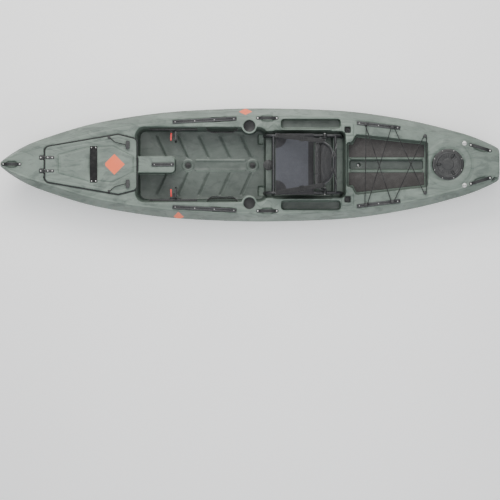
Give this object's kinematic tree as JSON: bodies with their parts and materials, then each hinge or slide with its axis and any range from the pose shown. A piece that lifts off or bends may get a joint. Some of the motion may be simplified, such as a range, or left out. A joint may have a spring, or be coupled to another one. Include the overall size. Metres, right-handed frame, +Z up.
{
  "type": "sit-on-top fishing kayak",
  "caption": "Long one-piece sit-on-top boat with a framed folding seat, hinged bow lid, round stern hatch, load well, gear tracks and sliding foot braces.",
  "frame": {"origin": "on the ground under the middle of the hull's length and beam", "axes": "+X to the stern along the keel, +Y to starboard, +Z up"},
  "size_m": [3.7502, 0.8592, 0.806],
  "materials": {
    "marbled_polyethylene": "satin, marbled green and grey",
    "closed_foam": "matt",
    "seal_rubber": "matt",
    "handle_rubber": "matt",
    "black_nylon": "fine grain",
    "red_nylon": "satin",
    "stainless": "polished",
    "black_aluminium": "satin powder coat",
    "bungee_cover": "braided",
    "grey_foam_mat": "textured matt",
    "pocket_mesh": "open mesh",
    "black_webbing": "woven",
    "grey_sling": "woven mesh"
  },
  "bodies": {
    "hull": {"hull": "marbled_polyethylene", "hatch_gasket": "seal_rubber", "hatch_hinge_brackets": "black_nylon", "hatch_hinge_pins": "stainless", "hinge_bracket_screws": "stainless", "round_hatch_ring": "black_nylon", "round_hatch_screws": "stainless", "front_tracks": "black_aluminium", "rear_tracks": "black_aluminium", "console_track": "black_aluminium", "track_screws": "stainless", "bow_handle": "handle_rubber", "side_handle_right": "handle_rubber", "side_handle_left": "handle_rubber", "stern_handles": "handle_rubber", "handle_screws": "stainless", "bungee_anchors": "black_nylon", "load_bungee": "bungee_cover", "deck_pads": "grey_foam_mat", "cup_liners": "black_nylon", "rod_socket_sleeves": "black_nylon", "access_port_ring": "black_nylon", "drain_bush": "black_nylon", "tow_eyes": "stainless", "foam_supports": "closed_foam", "foot_rails": "black_nylon", "side_pockets": "pocket_mesh"},
    "bow_lid": {"bow_hatch_lid": "marbled_polyethylene", "hatch_hinge_leaves": "black_nylon", "lid_rivets": "stainless", "lid_grip_strap": "black_webbing", "latch_eyes": "black_nylon"},
    "latch_right": {"latch_grip_right": "black_nylon", "latch_cord_right": "bungee_cover"},
    "latch_left": {"latch_grip_left": "black_nylon", "latch_cord_left": "bungee_cover"},
    "round_hatch_seal": {"round_hatch_seal": "seal_rubber"},
    "round_hatch_cover": {"round_hatch_cover": "black_nylon"},
    "scupper_plug_front": {"scupper_plug_front": "seal_rubber"},
    "scupper_plug_rear": {"scupper_plug_rear": "seal_rubber"},
    "access_port_cap": {"access_port_cap": "black_nylon"},
    "drain_plug": {"drain_plug": "black_nylon"},
    "foot_brace_right": {"foot_pedal_right": "black_nylon"},
    "foot_brace_left": {"foot_pedal_left": "black_nylon"},
    "release_lever_right": {"release_lever_right": "red_nylon"},
    "release_lever_left": {"release_lever_left": "red_nylon"},
    "seat": {"seat_side_frame_right": "black_aluminium", "seat_side_frame_left": "black_aluminium", "seat_foot_caps": "seal_rubber", "seat_cross_tubes": "black_aluminium", "seat_sling": "grey_sling", "back_pivot_brackets": "black_nylon", "back_pivot_bolts": "stainless"},
    "seat_back": {"back_frame": "black_aluminium", "back_pad": "grey_sling", "recline_strap_right": "black_webbing", "recline_strap_left": "black_webbing", "rear_strap_right": "black_webbing", "rear_strap_left": "black_webbing"}
  },
  "joints": [
    {"name": "bow_lid_hinge", "type": "hinge", "parent": "hull", "child": "bow_lid", "pos_m": [-1.54397, 0, 0.39642], "axis": [0, -1, 0], "range_deg": [0, 100]},
    {"name": "latch_swing_right", "type": "hinge", "parent": "bow_lid", "child": "latch_right", "pos_m": [-1.05978, 0.202, 0.3685], "axis": [0.0596, 0, 0.9982], "range_deg": [0, 60]},
    {"name": "latch_swing_left", "type": "hinge", "parent": "bow_lid", "child": "latch_left", "pos_m": [-1.05978, -0.202, 0.3685], "axis": [0.0596, 0, 0.9982], "range_deg": [-60, 0]},
    {"name": "round_cover_lift", "type": "slide", "parent": "hull", "child": "round_hatch_seal", "axis": [-0.0711, 0, 0.9975], "range_m": [0, 0.08]},
    {"name": "round_cover_turn", "type": "hinge", "parent": "round_hatch_seal", "child": "round_hatch_cover", "pos_m": [1.491, 0, 0.35151], "axis": [-0.0711, 0, 0.9975], "range_deg": [-60, 0]},
    {"name": "scupper_plug_front_pull", "type": "slide", "parent": "hull", "child": "scupper_plug_front", "axis": [0, 0, 1], "range_m": [0, 0.06]},
    {"name": "scupper_plug_rear_pull", "type": "slide", "parent": "hull", "child": "scupper_plug_rear", "axis": [0, 0, 1], "range_m": [0, 0.06]},
    {"name": "access_cap_pull", "type": "slide", "parent": "hull", "child": "access_port_cap", "axis": [0, 0, 1], "range_m": [0, 0.05]},
    {"name": "drain_plug_pull", "type": "slide", "parent": "hull", "child": "drain_plug", "axis": [0.766, -0.6428, 0], "range_m": [0, 0.04]},
    {"name": "foot_brace_slide_right", "type": "slide", "parent": "hull", "child": "foot_brace_right", "axis": [1, 0, 0], "range_m": [-0.135, 0.108]},
    {"name": "foot_brace_slide_left", "type": "slide", "parent": "hull", "child": "foot_brace_left", "axis": [1, 0, 0], "range_m": [-0.135, 0.108]},
    {"name": "release_lever_turn_right", "type": "hinge", "parent": "foot_brace_right", "child": "release_lever_right", "pos_m": [-0.595, 0.24593, 0.25141], "axis": [0, 0.1219, 0.9925], "range_deg": [0, 18], "stiffness_Nm_per_rad": 0.15},
    {"name": "release_lever_turn_left", "type": "hinge", "parent": "foot_brace_left", "child": "release_lever_left", "pos_m": [-0.595, -0.24593, 0.25141], "axis": [0, -0.1219, 0.9925], "range_deg": [-18, 0], "stiffness_Nm_per_rad": 0.15},
    {"name": "seat_lift", "type": "slide", "parent": "hull", "child": "seat", "axis": [0, 0, 1], "range_m": [0, 0.15]},
    {"name": "seat_back_fold", "type": "hinge", "parent": "seat", "child": "seat_back", "pos_m": [0.56, 0, 0.456], "axis": [0, 1, 0], "range_deg": [-50, 10], "deforming": ["recline_strap_right", "recline_strap_left", "rear_strap_right", "rear_strap_left"]}
  ]
}
